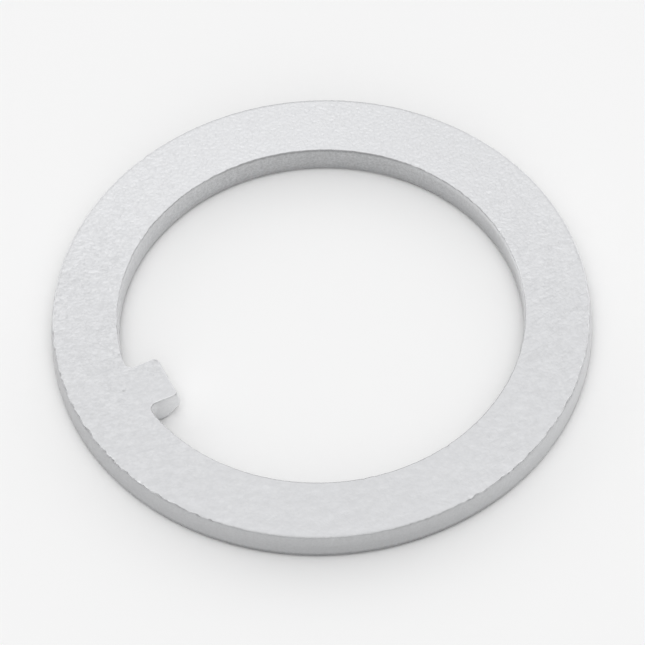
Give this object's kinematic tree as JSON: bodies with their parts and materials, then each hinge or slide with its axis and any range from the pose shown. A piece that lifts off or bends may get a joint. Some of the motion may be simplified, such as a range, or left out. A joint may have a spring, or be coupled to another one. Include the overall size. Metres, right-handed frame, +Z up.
{
  "type": "internal tab washer",
  "caption": "Flat zinc-plated steel ring washer with a square locking tab inside its bore, for a shaft with a keyway.",
  "frame": {"origin": "centre of the ring on its bottom face, the face with the rolled edges", "axes": "+Z up through the bore, out of the top face; the tab stands on the bore's -X side and points along +X"},
  "size_m": [0.0508, 0.0508, 0.003],
  "materials": {
    "zinc_plated_steel": "matt zinc plating over tumbled sheet steel"
  },
  "bodies": {
    "root": {"tab_washer": "zinc_plated_steel"}
  },
  "joints": []
}
